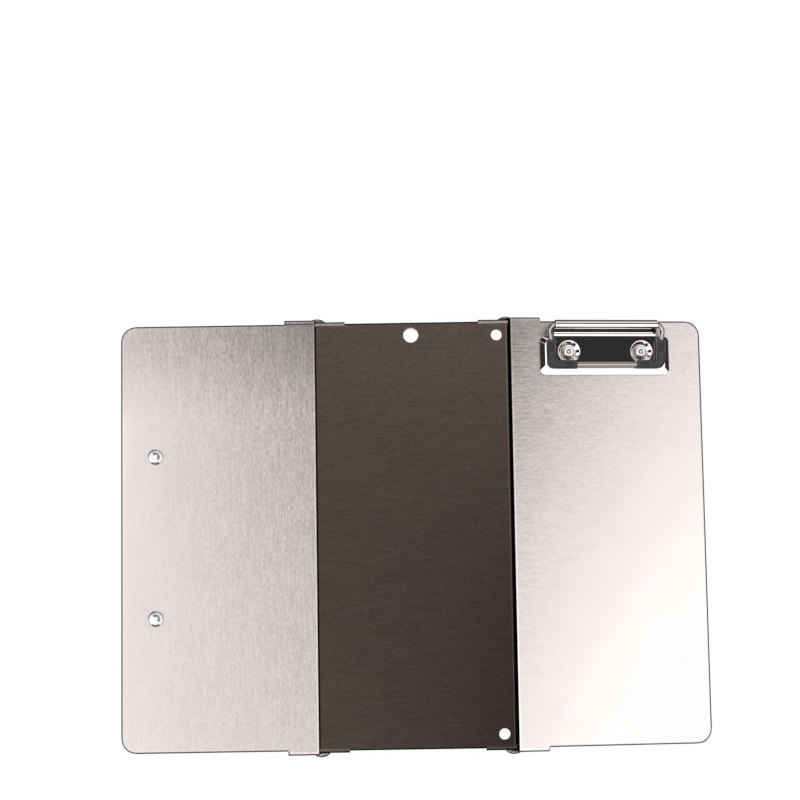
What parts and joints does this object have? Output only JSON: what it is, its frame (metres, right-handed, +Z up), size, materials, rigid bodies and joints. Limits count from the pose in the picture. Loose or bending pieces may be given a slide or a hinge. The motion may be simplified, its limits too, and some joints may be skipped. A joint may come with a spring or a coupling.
{
  "type": "folding storage clipboard",
  "caption": "Folding storage clipboard in brushed sheet steel: panels hinged on riveted ears, a small wire clip outside and a full-size wire clip inside, for loose sheets.",
  "frame": {"origin": "on the table, under the centre of the open board's bounding box", "axes": "+X across the panels towards the one with the small clip, +Y along the panels towards the end with that clip, +Z up, out of the outer faces"},
  "size_m": [0.331, 0.248, 0.0202],
  "materials": {
    "brushed_steel_dark": "fine horizontal brushing, satin",
    "brushed_steel_warm": "fine lengthwise brushing, satin",
    "brushed_steel_pale": "fine horizontal brushing, satin",
    "rivet_steel": "polished domed heads",
    "clip_chrome": "bright nickel plating, smooth",
    "wire_chrome": "plated round wire",
    "rivet_chrome": "plated, dished heads",
    "spring_wire": "plain spring wire",
    "black_rubber": "moulded, satin, with fine grooves"
  },
  "bodies": {
    "middle": {"middle_panel": "brushed_steel_dark", "hinge_rivet_top_left": "rivet_steel", "hinge_rivet_bottom_left": "rivet_steel", "hinge_rivet_top_right": "rivet_steel", "hinge_rivet_bottom_right": "rivet_steel"},
    "left_side": {"left_panel": "brushed_steel_warm", "main_clip_plate": "clip_chrome", "main_clip_rivet_top": "rivet_chrome", "main_clip_rivet_bottom": "rivet_chrome", "main_clip_spring": "spring_wire"},
    "right_side": {"right_panel": "brushed_steel_pale", "small_clip_plate": "clip_chrome", "small_clip_rivet_left": "rivet_chrome", "small_clip_rivet_right": "rivet_chrome", "small_clip_spring": "spring_wire"},
    "main_bail": {"main_clip_bail": "wire_chrome", "main_clip_sleeve_top": "black_rubber", "main_clip_sleeve_bottom": "black_rubber"},
    "small_bail": {"small_clip_bail": "wire_chrome", "small_clip_sleeve_left": "black_rubber", "small_clip_sleeve_right": "black_rubber"}
  },
  "joints": [
    {"name": "left_fold", "type": "hinge", "parent": "middle", "child": "left_side", "pos_m": [-0.05422, 0, 0.0052], "axis": [0, -1, 0], "range_deg": [0, 180]},
    {"name": "right_fold", "type": "hinge", "parent": "middle", "child": "right_side", "pos_m": [0.05378, 0, 0.0038], "axis": [0, 1, 0], "range_deg": [-6.88, 173.12]},
    {"name": "main_bail_lift", "type": "hinge", "parent": "left_side", "child": "main_bail", "pos_m": [-0.16202, 0, 0.0033], "axis": [0, 1, 0], "range_deg": [0, 16], "stiffness_Nm_per_rad": 0.16, "springref_deg": -85.94},
    {"name": "small_bail_lift", "type": "hinge", "parent": "right_side", "child": "small_bail", "pos_m": [0.11072, 0.1172, 0.01405], "axis": [-0.9928, 0, 0.1198], "range_deg": [0, 28], "stiffness_Nm_per_rad": 0.1, "springref_deg": -85.94}
  ]
}
